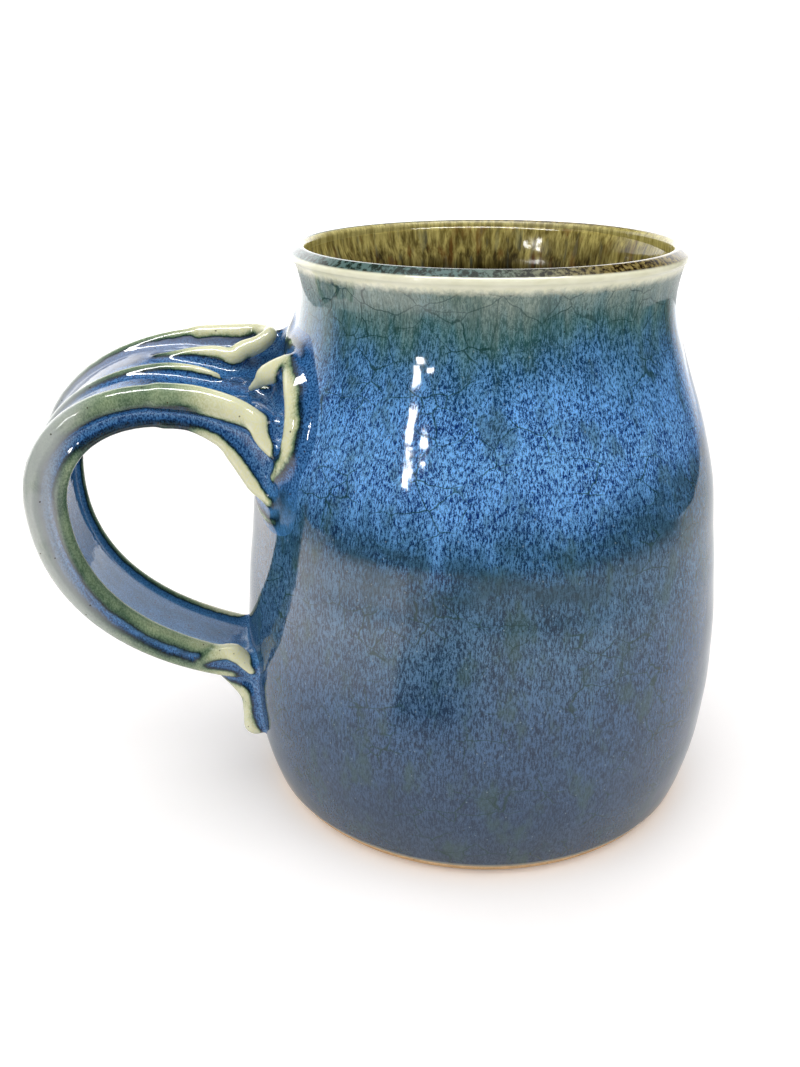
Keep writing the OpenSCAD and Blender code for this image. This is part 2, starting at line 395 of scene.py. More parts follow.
def cord(u, w, v, path, radii):
    """Distance to that cord, worked out everywhere."""
    knots = np.arange(len(path))
    fine = np.linspace(0, len(path) - 1, 4 * (len(path) - 1) + 1)
    pts = np.stack([smooth_curve(np.stack([knots, path[:, c]], -1), fine) for c in range(3)], -1)
    rad = np.interp(fine, knots, radii)
    best = None
    for i in range(len(pts) - 1):
        a, ab = pts[i], pts[i + 1] - pts[i]
        t = ((u - a[0]) * ab[0] + (w - a[1]) * ab[1] + (v - a[2]) * ab[2]) / (ab @ ab)
        t = np.clip(t, 0, 1)
        d = np.sqrt((u - a[0] - t * ab[0]) ** 2 + (w - a[1] - t * ab[1]) ** 2 + (v - a[2] - t * ab[2]) ** 2)
        d = d - mix(rad[i], rad[i + 1], t)
        best = d if best is None else np.minimum(best, d)
    return best


def bump(u, w, v, centre, radii):
    """Rough distance to an ellipsoid."""
    q = np.sqrt(sum(((p - c) / r) ** 2 for p, c, r in zip((u, w, v), centre, radii)))
    return (q - 1) * min(radii)


def on_wall(w, v, d):
    """Point a height d above the wall, w across from the handle's plane and v up."""
    r = np.interp(v, HEIGHTS, OUTER) + d
    return [math.sqrt(r * r - w * w), w, v]


def body_field(u, w, v):
    """Distance outside the pot's finished wall."""
    r = np.hypot(u, w)
    turn = np.arctan2(-w, -u)
    return r - wall_r(np.clip(v, 0, LIP_BASE), turn)


CORE_ROUND = 0.9         # rounding of the slab between the cords


def strap_field(u, w, v, s, out, over):
    """Distance to the pulled strap: a slab with raised cords along its four edges and its back."""
    t, b, roll = strap_size(s)
    x = out * np.cos(roll) + w * np.sin(roll)
    y = -out * np.sin(roll) + w * np.cos(roll)
    join = 1 - smoothstep(s, 0.1, 0.25)
    core_x = np.abs(x) - (t / 2 - 1.25 - CORE_ROUND) + 1.5 * join * (x > 0)
    core_y = np.abs(y) - (b - mix(1.65, 0.7, smoothstep(s, 0.5, 0.7)) - CORE_ROUND)
    outside = np.hypot(np.maximum(core_x, 0), np.maximum(core_y, 0))
    d = outside + np.minimum(np.maximum(core_x, core_y), 0) - CORE_ROUND
    for cx, cy, r, blend in strap_cords(s):
        d = smin(d, np.hypot(x - cx, y - cy) - r, blend)
    return np.hypot(np.maximum(d, 0), over) + np.minimum(d, 0)


def cord_point(s, which):
    """Point on the middle of one of the strap's raised cords."""
    x, y = strap_cords(s)[which][:2]
    return strap_point(s, x, y)


# Cords of clay at the joins, each a short path of points.
NEAR_CREST = [cord_point(0.20, 0), cord_point(0.15, 0), cord_point(0.11, 0), [48.9, 12.8, 85.8],
              [46.6, 14.0, 84.2], [45.2, 15.2, 81.4], on_wall(16.6, 77.8, 1.0)]
HOOK = [[46.8, 5.4, 88.8], [45.0, 6.3, 90.3], [43.4, 7.2, 91.8], on_wall(9.2, 93.2, 1.0),
        on_wall(14.2, 89.8, 0.8), on_wall(17.0, 85.5, 0.6), on_wall(17.9, 81.0, 0.5),
        on_wall(17.4, 77.5, 0.6), on_wall(16.2, 74.6, 0.8)]
FAR_CURL = [strap_point(0.20, 1.8, -4.8), strap_point(0.155, 2.5, -4.4), strap_point(0.12, 2.9, -4.0),
            strap_point(0.095, 3.0, -3.6), [47.4, -3.0, 94.2], [44.6, -3.0, 95.2], [42.6, -3.8, 96.4],
            [42.2, -6.0, 96.9], [44.6, -9.4, 96.6], cord_point(0.10, 3), cord_point(0.14, 3)]
NEAR_LIP = [cord_point(0.20, 1), cord_point(0.16, 1), [53.2, 11.2, 80.7], [50.8, 12.2, 77.9],
            [49.0, 13.0, 75.2], [47.2, 14.2, 72.4], on_wall(15.6, 70.2, 1.1)]
TAIL = [[57.5, 4.4, 31.0], [54.2, 4.8, 28.0], on_wall(6.6, 23.5, 1.3), on_wall(6.6, 18.5, 1.3),
        on_wall(6.2, 15.6, 1.4)]
LOW_CURL = [[60.5, 8.4, 33.4], [56.8, 8.8, 34.6], [53.6, 9.2, 34.4], on_wall(9.6, 31.0, 1.2)]


ARCH_C = (60.2, 70.5)    # centre of the round inside corner under the upper join
ARCH_R = 12.6
LEAF_V = (69.6, 97.0)    # bottom and top of the leaf pressed on the wall
LEAF_T = 0.9             # how far the leaf stands off the wall
BED_C_V = 85.0           # middle of the bed that covers the slip
BED_T = 0.8
TAIL_V = (16.0, 32.0)    # bottom and top of the tail
TAIL_T = 0.6


def leaf_field(w, v, wall):
    """The leaf of clay pressed on the wall round the upper join."""
    lean_w = w - 4.5 - (84 - v) * 0.30
    leaf_w = 14.5 * (1 - 0.42 * smoothstep(84 - v, 0, 18)) * (1 - 0.35 * smoothstep(v - 88, 0, 12))
    leaf = smax(np.abs(lean_w) - leaf_w, np.maximum(LEAF_V[0] - v, v - LEAF_V[1]), 3.0)
    leaf = smax(leaf, wall - LEAF_T, 1.5)
    above = v > BED_C_V
    lean_w = w + (v - BED_C_V) * np.where(above, 0.77, 0.68)
    bed = 12.0 * (np.hypot(lean_w / 13.2, (v - BED_C_V) / np.where(above, 15.2, 19.0)) - 1)
    return smin(leaf, smax(bed, wall - BED_T, 1.5), 1.0)


def web_field(u, w, v, out):
    """The clay that fills the round inside corner under the upper join."""
    web = ARCH_R - np.hypot(u - ARCH_C[0], v - ARCH_C[1])
    web = np.maximum(np.where(v < ARCH_C[1] + 1, 70.0 - v, web), web)
    near_edge = w - 10.2 - 0.34 * np.clip(57 - u, 0, 12)
    far_edge = -w - 9.5 + 0.85 * np.maximum(0, 84 - v)
    web = smax(web, np.maximum(near_edge, far_edge), 2.0)
    return smax(web, np.maximum(out + 1.5, u - 57), 3.0)


def handle_field(u, w, v, s, out, over):
    """Distance to the handle and everything pressed on at its joins, and distance off the wall."""
    d = strap_field(u, w, v, s, out, over)
    wall = body_field(u, w, v)
    d = smin(d, leaf_field(w, v, wall), 4.0)
    d = smin(d, web_field(u, w, v, out), 1.6)
    thumb_press = bump(u, w, v, (47.0, 8.5, 93.6), (9.5, 6.2, 5.2))
    d = smax(d, -thumb_press, 2.2)
    trough = bump(u, w, v, (48.0, -6.8, 99.4), (11.0, 3.6, 5.2))
    d = smax(d, -trough, 1.6)
    d = smin(d, tube(u, w, v, NEAR_CREST, [2.1, 2.3, 2.3, 2.1, 1.9, 1.6, 1.2]), 1.6)
    d = smin(d, tube(u, w, v, HOOK, [0.5, 1.2, 2.0, 2.5, 2.6, 2.5, 2.3, 1.9, 1.3]), 1.2)
    d = smin(d, tube(u, w, v, FAR_CURL, [0.9, 1.4, 1.8, 2.0, 1.9, 1.7, 1.5, 1.3, 1.4, 1.6, 1.5]), 1.6)
    d = smin(d, tube(u, w, v, NEAR_LIP, [0.8, 0.9, 1.2, 1.5, 1.6, 1.6, 1.3]), 1.6)

    # lower join: the strap's end turned down the wall as a tail
    tail = smax(np.abs(w - 4.8) - 4.2, np.maximum(TAIL_V[0] - v, v - TAIL_V[1]), 2.0)
    tail = smax(tail, wall - TAIL_T, 0.8)
    d = smin(d, tail, 1.8)
    d = smin(d, tube(u, w, v, TAIL, [2.4, 2.6, 2.5, 2.4, 2.7]), 0.8)
    d = smin(d, tube(u, w, v, LOW_CURL, [1.1, 1.5, 1.9, 1.5]), 1.2)
    return d, wall


SKIN_DEPTH = 0.07        # how far under the pot's glaze the handle's hidden skirt lies
SKIRT = 2.6              # how far that skirt runs past the join
ROOT = 0.9               # how deep the handle's piece goes under the glaze


def handle_solid(u, w, v, strap):
    """The handle's visible piece: it swells out of the pot and is cut off just under the glaze."""
    d, wall = handle_field(u, w, v, *strap[:3])
    lift = smoothstep(v, 60, 66)
    fillet = mix(1.6, 3.4, lift)
    skin = smin(d, wall + SKIN_DEPTH, fillet)
    skin = np.maximum(skin, d - SKIRT - 0.6 * fillet)
    return np.maximum(skin, -wall - ROOT)


def surface_net(value, low, step):
    """Naive surface net of a sampled field: one vertex in each cell that the surface crosses."""
    inside = value < 0
    n = np.array(value.shape) - 1
    total = np.zeros((*n, 3), np.float32)
    count = np.zeros(n, np.float32)
    quads = []
    for axis in range(3):
        a = [slice(None)] * 3
        b = [slice(None)] * 3
        a[axis], b[axis] = slice(0, -1), slice(1, None)
        va, vb = value[tuple(a)], value[tuple(b)]
        cross = inside[tuple(a)] != inside[tuple(b)]
        with np.errstate(divide="ignore", invalid="ignore"):
            t = np.where(cross, va / (va - vb), 0).astype(np.float32)
        index = np.indices(cross.shape, np.float32)
        index[axis] += t
        others = [c for c in range(3) if c != axis]
        for p in (0, 1):
            for q in (0, 1):
                pick = [slice(None)] * 3
                pick[others[0]] = slice(p, p + n[others[0]])
                pick[others[1]] = slice(q, q + n[others[1]])
                pick = tuple(pick)
                hit = cross[pick]
                count += hit
                for c in range(3):
                    total[..., c] += np.where(hit, index[c][pick], 0)
        i, j, k = np.nonzero(cross)
        edge = np.stack([i, j, k], -1)
        ok = np.all([(edge[:, c] > 0) & (edge[:, c] < n[c]) for c in others], axis=0)
        edge = edge[ok]
        flip = ~inside[tuple(edge.T)]
        e0, e1 = np.eye(3, dtype=int)[others[0]], np.eye(3, dtype=int)[others[1]]
        corners = [edge - e0 - e1, edge - e1, edge, edge - e0]
        cell = np.stack([np.ravel_multi_index(c.T, n) for c in corners], -1)
        if axis == 1:
            flip = ~flip
        cell[flip] = cell[flip][:, ::-1]
        quads.append(cell)
    quads = np.vstack(quads)
    used = np.nonzero(count.ravel() > 0)[0]
    remap = np.full(count.size, -1, np.int64)
    remap[used] = np.arange(len(used))
    co = total.reshape(-1, 3)[used] / count.ravel()[used, None] * step + np.asarray(low)
    return co.astype(float), remap[quads]


def settle(p, rounds=2, reach=0.25):
    """Moves points onto the field's true surface by Newton steps."""
    e = 0.02
    for _ in range(rounds):
        share, out, over, nu, nv = nearest_on_strap(p[:, 0], p[:, 2])

        def at(du, dw, dv):
            strap = (share, out + du * nu + dv * nv, over, nu, nv)
            return handle_solid(p[:, 0] + du, p[:, 1] + dw, p[:, 2] + dv, strap)

        value = at(0, 0, 0)
        slope = np.stack([at(*(e * axis)) - at(*(-e * axis)) for axis in np.eye(3)], -1) / (2 * e)
        step = value[:, None] * slope / np.maximum((slope**2).sum(1), 0.25)[:, None]
        length = np.linalg.norm(step, axis=1)[:, None]
        p = p - step * np.minimum(1, reach / np.maximum(length, 1e-9))
    return p


def neighbour_mean(co, edges):
    """Mean of the vertices that share an edge with each vertex."""
    total = np.zeros_like(co)
    count = np.zeros(len(co))
    for a, b in ((0, 1), (1, 0)):
        np.add.at(total, edges[:, a], co[edges[:, b]])
        np.add.at(count, edges[:, a], 1)
    return total / count[:, None]


def add_pool(piece, rounds):
    """Stores how far each point lies in a hollow (+) or on a ridge (-), in millimetres, as 'pool'."""
    mesh = piece.data
    co = read(mesh.vertices, "co") / METRES
    normal = read(mesh.vertices, "normal")
    edges = read(mesh.edges, "vertices", 2, np.int32)
    soft = co
    for _ in range(rounds):
        soft = neighbour_mean(soft, edges)
    pool = ((soft - co) * normal).sum(1)
    turn = np.arctan2(co[:, 1], co[:, 0])
    proud = np.hypot(co[:, 0], co[:, 1]) - wall_r(np.clip(co[:, 2], 0, LIP_BASE), turn)
    pool = np.where(pool < 0, pool * smoothstep(proud, 0.3, 0.9), pool)

    # painted shade: the ridges along the loop's inner edge, which lie in shade, are flattened in this
    # measure so they colour dark green rather than cream, most of all at the top
    share, out = nearest_on_strap(-co[:, 0], co[:, 2])[:2]
    under = smoothstep(-out, 0.6, 2.2) * smoothstep(-co[:, 1], 2, 6)
    inner_shade = 0.72 * smoothstep(share, 0.12, 0.17) * (1 - smoothstep(share, 0.34, 0.46))
    inner_shade = np.maximum(inner_shade, 0.30 * smoothstep(share, 0.34, 0.46) * (1 - smoothstep(share, 0.66, 0.8)))
    pool = np.where(pool < 0, pool * (1 - under * inner_shade), pool)
    layer = mesh.attributes.new("pool", "FLOAT", "POINT")
    layer.data.foreach_set("value", pool.astype(np.float32))


def build_handle():
    """Samples the field near its surface only, skins it and settles the skin on the surface."""
    step = 0.5
    coarse = 4
    low = np.array([35.0, -17.0, 9.0])
    high = np.array([REACH + 2, 25.0, 102.0])
    n = coarse * np.ceil((high - low) / step / coarse).astype(int)
    u, w, v = (low[c] + step * np.arange(n[c] + 1) for c in range(3))
    uu, vv = np.meshgrid(u, v, indexing="ij")
    strap = [q.reshape(uu.shape) for q in nearest_on_strap(uu.ravel(), vv.ravel())]

    def sample(i, j, k):
        return handle_solid(u[i], w[j], v[k], [q[i, k] for q in strap])

    i, j, k = (g.ravel() for g in np.meshgrid(*[np.arange(0, m + 1, coarse) for m in n], indexing="ij"))
    rough = sample(i, j, k).reshape(n // coarse + 1)
    close = np.abs(rough) < 1.9 * coarse * step
    block = np.zeros(n // coarse, bool)
    for p in np.ndindex(2, 2, 2):
        block |= close[tuple(slice(q, q + m) for q, m in zip(p, block.shape))]
    value = np.repeat(np.repeat(np.repeat(rough, coarse, 0), coarse, 1), coarse, 2)
    value = value[: n[0] + 1, : n[1] + 1, : n[2] + 1].copy()
    wanted = np.zeros(n + 1, bool)
    fine = np.repeat(np.repeat(np.repeat(block, coarse, 0), coarse, 1), coarse, 2)
    for p in np.ndindex(2, 2, 2):
        wanted[tuple(slice(q, q + m) for q, m in zip(p, n))] |= fine
    i, j, k = np.nonzero(wanted)
    value[i, j, k] = sample(i, j, k)
    co, quads = surface_net(value, low, step)
    co = settle(co)
    xyz = np.stack([-co[:, 0], -co[:, 1], co[:, 2]], -1)
    return mesh_object("glazed_handle", xyz, [quads])


# ---------------------------------------------------------------- node helpers


class Nodes:
    """A node tree, with one short call for each kind of node."""

    def __init__(self, tree):
        self.tree = tree

    def node(self, kind, **settings):
        node = self.tree.nodes.new("ShaderNode" + kind)
        for key, value in settings.items():
            setattr(node, key, value)
        return node

    def link(self, a, b):
        self.tree.links.new(a, b)

    def feed(self, socket, value):
        if isinstance(value, bpy.types.NodeSocket):
            self.link(value, socket)
        elif isinstance(value, (tuple, list)) and len(value) == 3 and socket.type == "RGBA":
            socket.default_value = (*value, 1)
        else:
            socket.default_value = value

    def split(self, vector):
        node = self.node("SeparateXYZ")
        self.link(vector, node.inputs[0])
        return node.outputs

    def maths(self, operation, a, b=0.0, clamp=False):
        node = self.node("Math", operation=operation, use_clamp=clamp)
        for socket, value in zip(node.inputs, (a, b)):
            self.feed(socket, value)
        return node.outputs[0]

    def plus(self, a, b):
        return self.maths("ADD", a, b)

    def minus(self, a, b):
        return self.maths("SUBTRACT", a, b)

    def times(self, a, b):
        return self.maths("MULTIPLY", a, b)

    def hypot(self, a, b):
        return self.maths("SQRT", self.plus(self.times(a, a), self.times(b, b)))

    def step(self, value, low, high, to_low=0.0, to_high=1.0):
        """Eases from to_low to to_high as value goes from low to high."""
        node = self.node("MapRange", interpolation_type="SMOOTHSTEP")
        for socket, item in zip(node.inputs, (value, low, high, to_low, to_high)):
            self.feed(socket, item)
        return node.outputs["Result"]


class Book(Nodes):
    """A material, its millimetre coordinates and its textures."""

    def __init__(self, name):
        self.material = bpy.data.materials.new(name)
        self.material.use_nodes = True
        super().__init__(self.material.node_tree)
        self.tree.nodes.clear()
        self.shader = self.node("BsdfPrincipled")
        self.link(self.shader.outputs[0], self.node("OutputMaterial").inputs[0])
        self.mm = self.vector("SCALE", self.node("TexCoord").outputs["Object"], scale=1 / METRES)
        self.x, self.y, self.z = self.split(self.mm)
        self.radius = self.hypot(self.x, self.y)
        self.depth = 1.0    # multiplies every colour given after it is set

    def vector(self, operation, a, b=None, scale=None):
        node = self.node("VectorMath", operation=operation)
        self.feed(node.inputs[0], a)
        if b is not None:
            self.feed(node.inputs[1], b)
        if scale is not None:
            self.feed(node.inputs["Scale"], scale)
        return node.outputs[0]

    def noise(self, stretch, detail=2.0, rough=0.5, seed=0.0, warp=0.0):
        """Noise from 0 to 1 whose features are about 1 / stretch millimetres along each axis."""
        where = self.vector("MULTIPLY", self.mm, stretch)
        if seed:
            where = self.vector("ADD", where, (seed, seed * 1.7, seed * 0.6))
        node = self.node("TexNoise")
        self.feed(node.inputs["Vector"], where)
        self.feed(node.inputs["Scale"], 1.0)
        self.feed(node.inputs["Detail"], detail)
        self.feed(node.inputs["Roughness"], rough)
        self.feed(node.inputs["Distortion"], warp)
        return node.outputs["Fac"]

    def around(self, noise, size):
        """The same noise, from -size / 2 to size / 2."""
        return self.times(self.minus(noise, 0.5), size)

    def cells(self, stretch, feature="F1", seed=0.0, warp_mm=0.0):
        """Distance to the nearest point, or to the edge, of cells about 1 / stretch mm across."""
        where = self.mm
        if warp_mm:
            node = self.node("TexNoise")
            self.feed(node.inputs["Vector"], self.vector("SCALE", where, scale=0.22))
            self.feed(node.inputs["Scale"], 1.0)
            shift = self.vector("SUBTRACT", node.outputs["Color"], (0.5, 0.5, 0.5))
            where = self.vector("ADD", where, self.vector("SCALE", shift, scale=warp_mm))
        where = self.vector("MULTIPLY", where, stretch)
        if seed:
            where = self.vector("ADD", where, (seed, seed * 1.3, seed * 0.7))
        node = self.node("TexVoronoi", feature=feature)
        self.feed(node.inputs["Vector"], where)
        self.feed(node.inputs["Scale"], 1.0)
        return node.outputs["Distance"]

    def ramp(self, value, stops):
        """Colour ramp from (place, sRGB colour) stops, with places in the value's own units."""
        low, high = stops[0][0], stops[-1][0]
        node = self.node("ValToRGB")
        spot = self.maths("DIVIDE", self.minus(value, low), high - low, clamp=True)
        self.link(spot, node.inputs[0])
        band = node.color_ramp
        while len(band.elements) < len(stops):
            band.elements.new(0.5)
        for element, (place, colour) in zip(band.elements, stops):
            element.position = (place - low) / (high - low)
            element.color = (*(c * self.depth for c in linear(colour)), 1)
        return node.outputs["Color"]

    def mix(self, factor, a, b):
        """Colour a turning to b as factor goes from 0 to 1; plain colours are sRGB."""
        node = self.node("Mix", data_type="RGBA")
        self.feed(node.inputs[0], factor)
        for socket, item in ((node.inputs[6], a), (node.inputs[7], b)):
            if isinstance(item, tuple):
                item = tuple(c * self.depth for c in linear(item))
            self.feed(socket, item)
        return node.outputs[2]

    def attribute(self, name):
        return self.node("Attribute", attribute_name=name).outputs["Fac"]

    def bump(self, height, distance_mm):
        node = self.node("Bump")
        self.feed(node.inputs["Height"], height)
        self.feed(node.inputs["Distance"], distance_mm * METRES)
        self.feed(node.inputs["Strength"], 1.0)
        self.link(node.outputs[0], self.shader.inputs["Normal"])

    def surface(self, colour, roughness, **more):
        self.feed(self.shader.inputs["Base Color"], colour)
        self.feed(self.shader.inputs["Roughness"], roughness)
        for name, value in more.items():
            self.feed(self.shader.inputs[name.replace("_", " ")], value)
        return self.material


def linear(colour):
    """Linear colour from 0-255 sRGB."""
    c = np.asarray(colour, float) / 255
    return tuple(np.where(c <= 0.04045, c / 12.92, ((c + 0.055) / 1.055) ** 2.4))


# ---------------------------------------------------------------- materials


def blue_glaze():
    """Floating blue over the pot: streaked where it ran from the shoulder, denser below."""
    k = Book("floating_blue_glaze")
    drift = k.around(k.noise((0.06, 0.06, 0.03), 2, 0.5, 3.0), 14.0)
    lick = k.around(k.noise((0.35, 0.35, 0.05), 2, 0.6, 9.0), 12.0)
    height = k.plus(k.plus(k.z, drift), lick)
    # on the right the bright band ends higher up
    sag = k.times(k.step(k.x, 4, 34), k.step(k.z, 88, 76, 0.0, -7.0))
    height = k.plus(height, sag)

    k.depth = 0.95
    dark = k.ramp(height, [(0, (34, 54, 74)), (18, (28, 50, 77)), (36, (18, 44, 72)),
                           (52, (20, 48, 74)), (63, (14, 44, 66)), (70, (7, 40, 78)),
                           (78, (4, 42, 110)), (82, (4, 44, 114)), (90, (4, 44, 106)),
                           (98, (10, 54, 84)), (104, (44, 84, 86)), (110, (104, 124, 116))])
    light = k.ramp(height, [(0, (63, 82, 105)), (18, (64, 91, 124)), (36, (77, 113, 152)),
                            (52, (92, 132, 166)), (63, (76, 120, 154)), (70, (88, 144, 194)),
                            (78, (124, 190, 255)), (82, (130, 196, 255)), (90, (120, 188, 255)),
                            (98, (96, 154, 204)), (104, (98, 140, 148)), (110, (144, 162, 150))])
    fibre = k.noise((3.4, 3.4, 0.85), 3, 0.62, 1.0, 0.5)
    grain = k.noise((6.0, 6.0, 4.0), 2, 0.6, 5.0)
    cloud = k.noise((0.2, 0.2, 0.1), 3, 0.55, 7.0)
    streak = k.plus(k.times(fibre, 0.66), k.times(grain, 0.34))
    streak = k.plus(streak, k.around(cloud, 0.12))
    colour = k.mix(k.step(streak, 0.42, 0.59), dark, light)

    moss = k.plus(k.noise((0.22, 0.22, 0.1), 3, 0.6, 13.0), k.times(grain, 0.35))
    green = k.step(moss, 0.70, 0.86)
    colour = k.mix(k.times(green, 0.5), colour, (60, 90, 82))
    belt = k.times(k.step(height, 55, 63), k.step(height, 74, 67))
    belt = k.times(belt, k.step(k.noise((0.12, 0.12, 0.3), 3, 0.6, 23.0), 0.40, 0.62))
    colour = k.mix(k.times(belt, 0.55), colour, (34, 66, 78))
    pale = k.step(k.cells((0.55, 0.55, 0.5), seed=4.0), 0.10, 0.05)
    colour = k.mix(k.times(pale, 0.35), colour, (176, 200, 205))
    pit = k.step(k.cells((0.33, 0.33, 0.3), seed=8.0), 0.075, 0.03)
    colour = k.mix(k.times(pit, 0.8), colour, (26, 34, 28))

    crazing = k.cells((0.15, 0.15, 0.20), "DISTANCE_TO_EDGE", 2.0, 2.5)
    crack = k.step(crazing, 0.024, 0.009)
    where = k.step(k.noise((0.09, 0.09, 0.09), 2, 0.5, 21.0), 0.48, 0.60)
    crack = k.times(crack, k.maths("MAXIMUM", where, k.step(k.z, 98, 103, 0.0, 0.7)))
    colour = k.mix(k.times(crack, 0.8), colour, (22, 58, 54))

    k.depth = 0.8
    # the lip: cream where the glaze thins over the bead, mottled brown-green on its top slope
    inward = k.minus(LIP_R, k.radius)
    mottle = k.noise((1.1, 1.1, 1.1), 3, 0.6, 31.0)
    side = k.step(k.x, -16, 14)
    slope_a = k.mix(k.step(mottle, 0.42, 0.6), (34, 50, 40), (104, 132, 128))
    slope_b = k.mix(k.step(mottle, 0.40, 0.62), (44, 30, 8), (164, 146, 88))
    slope = k.mix(side, slope_a, slope_b)
    k.depth = 1.0
    bead = k.mix(k.step(k.noise((0.3, 0.3, 0.8), 2, 0.5, 17.0), 0.3, 0.8), (250, 248, 222), (238, 236, 204))
    on_top = k.times(k.step(inward, 0.08, 0.50), k.step(k.z, MUG_H - 2.4, MUG_H - 1.6))
    lip = k.mix(on_top, bead, slope)
    inner_edge = k.step(inward, 2.35, 2.9)
    liner = k.mix(k.step(liner_streak(k)[2], 0.38, 0.62), (150, 136, 66), (212, 200, 122))
    lip = k.mix(inner_edge, lip, liner)
    on_lip = k.step(k.plus(k.z, k.around(mottle, 1.3)), MUG_H - 4.5, MUG_H - 2.8)
    colour = k.mix(on_lip, colour, lip)
    hem = k.step(k.z, BARE_H + 0.9, BARE_H + 0.25)
    colour = k.mix(k.times(hem, 0.75), colour, (176, 168, 148))

    ripple = k.noise((0.25, 0.25, 0.18), 2, 0.5, 41.0)
    height = k.minus(ripple, k.times(pit, 0.15))
    k.bump(height, 0.045)
    rough = k.step(grain, 0.3, 0.7, 0.045, 0.07)
    far_rim = k.times(on_lip, k.step(inward, 1.2, 1.8))
    far_rim = k.times(far_rim, k.step(k.y, 8, 22, 0.0, 0.4))
    rough = k.plus(rough, far_rim)
    return k.surface(colour, rough, IOR=1.54)


LOOP_C = (-50.0, 66.0)    # middle of the handle's opening


def handle_glaze():
    """The same glaze on the handle: cream where it broke over the ridges, blue where it pooled, with
    painted shade in the channels beside the ridges and along the loop's inner edge, and painted sheen on
    the loop's outer left and its far upper face.
    """
    k = Book("breaking_handle_glaze")
    pool = k.attribute("pool")
    wander = k.around(k.noise((0.4, 0.4, 0.3), 3, 0.6, 2.0), 0.24)
    pool = k.plus(pool, wander)
    grain = k.noise((3.4, 3.4, 2.2), 3, 0.62, 5.0)
    broke = k.times(k.step(k.radius, 65, 52, 0.0, 0.9), k.step(pool, -0.12, -0.38))
    pool = k.minus(pool, broke)
    k.depth = 0.8
    # the near-black stops near -0.15, where each ridge drops into the channel beside it, are painted shade
    # and a painted dark reflection in those channels
    dark = k.ramp(pool, [(-1.3, (255, 252, 196)), (-0.9, (206, 210, 160)), (-0.46, (116, 140, 106)),
                         (-0.30, (64, 92, 70)), (-0.15, (8, 26, 28)), (-0.04, (10, 36, 62)),
                         (0.05, (14, 60, 112)), (0.3, (18, 66, 124)), (0.8, (24, 84, 152))])
    light = k.ramp(pool, [(-1.3, (255, 255, 226)), (-0.9, (232, 236, 196)), (-0.46, (156, 176, 140)),
                          (-0.30, (100, 128, 102)), (-0.15, (28, 56, 62)), (-0.04, (46, 88, 132)),
                          (0.05, (76, 138, 204)), (0.3, (100, 160, 218)), (0.8, (140, 192, 240))])
    colour = k.mix(k.step(grain, 0.38, 0.62), dark, light)
    loop = k.hypot(k.minus(k.x, LOOP_C[0]), k.minus(k.z, LOOP_C[1]))
    # painted sheen: a whitish reflection on the outer left side of the loop
    painted_left_sheen = k.times(k.step(k.x, -68, -84), k.step(loop, 32.5, 37.0, 0.0, 0.72))
    painted_left_sheen = k.times(painted_left_sheen, k.step(k.noise((0.2, 0.2, 0.2), 2, 0.5, 33.0), 0.2, 0.5, 0.7, 1.0))
    colour = k.mix(painted_left_sheen, colour, (212, 216, 216))
    inner = k.times(k.step(loop, 34.6, 32.2), k.step(k.z, 76, 68))
    colour = k.mix(k.times(inner, k.step(pool, -0.14, -0.02, 0.0, 0.3)), colour, (104, 172, 222))
    # painted sheen: a pale lavender reflection on the far face of the strap near the upper join
    painted_far_sheen = k.times(k.step(k.y, 1.0, 6.0), k.step(k.z, 82, 90))
    painted_far_sheen = k.times(painted_far_sheen, k.step(k.x, -43, -50))
    painted_far_sheen = k.times(painted_far_sheen, k.step(pool, -0.16, -0.04, 0.0, 0.5))
    colour = k.mix(painted_far_sheen, colour, (186, 192, 212))
    speck = k.step(k.cells((0.42, 0.42, 0.42), seed=6.0), 0.10, 0.045)
    colour = k.mix(k.times(speck, 0.85), colour, (58, 44, 20))
    ripple = k.noise((0.3, 0.3, 0.3), 2, 0.5, 11.0)
    k.bump(ripple, 0.08)
    rough = k.step(grain, 0.3, 0.7, 0.015, 0.04)
    return k.surface(colour, rough, IOR=k.step(inner, 0.0, 1.0, 1.54, 1.26))


def liner_streak(k):
    """The liner's wide runs, its fine grain and the two together. The lip's edge shares them."""
    run = k.noise((0.9, 0.9, 0.08), 3, 0.6, 2.0, 0.3)
    fine = k.noise((3.0, 3.0, 0.6), 2, 0.6, 6.0)
    both = k.plus(k.times(run, 0.65), k.times(fine, 0.35))
    return run, fine, both


def olive_glaze():
    """Iron-green liner, run down the inside in soft vertical streaks, darkening towards the bottom as
    painted shade inside the cup.
    """
    k = Book("olive_liner_glaze")
    run, fine, streak = liner_streak(k)
    height = k.plus(k.z, k.around(run, 22.0))
    # both tones darken steeply towards the bottom of the cup: painted shade
    deep = k.ramp(height, [(8, (8, 6, 2)), (60, (10, 7, 2)), (84, (14, 10, 3)), (96, (26, 20, 7)),
                           (104, (60, 50, 20)), (113, (138, 122, 56))])
    warm = k.ramp(height, [(8, (18, 14, 5)), (60, (22, 17, 6)), (84, (34, 27, 10)), (96, (60, 50, 22)),
                           (104, (104, 92, 46)), (113, (204, 190, 112))])
    colour = k.mix(k.step(streak, 0.33, 0.67), deep, warm)
    rust = k.step(k.noise((0.5, 0.5, 0.12), 2, 0.5, 15.0), 0.54, 0.7)
    colour = k.mix(k.times(rust, 0.55), colour, (110, 66, 20))
    steel = k.step(k.noise((0.6, 0.6, 0.1), 2, 0.5, 27.0), 0.56, 0.70)
    steel = k.times(steel, k.step(k.z, 80, 106, 0.0, 0.35))
    colour = k.mix(steel, colour, (86, 100, 92))
    k.bump(k.noise((0.3, 0.3, 0.12), 2, 0.5, 19.0), 0.10)
    rough = k.plus(k.step(fine, 0.3, 0.7, 0.0, 0.05), k.step(k.z, 103, 107, 0.26, 0.08))
    return k.surface(colour, rough, IOR=1.46)


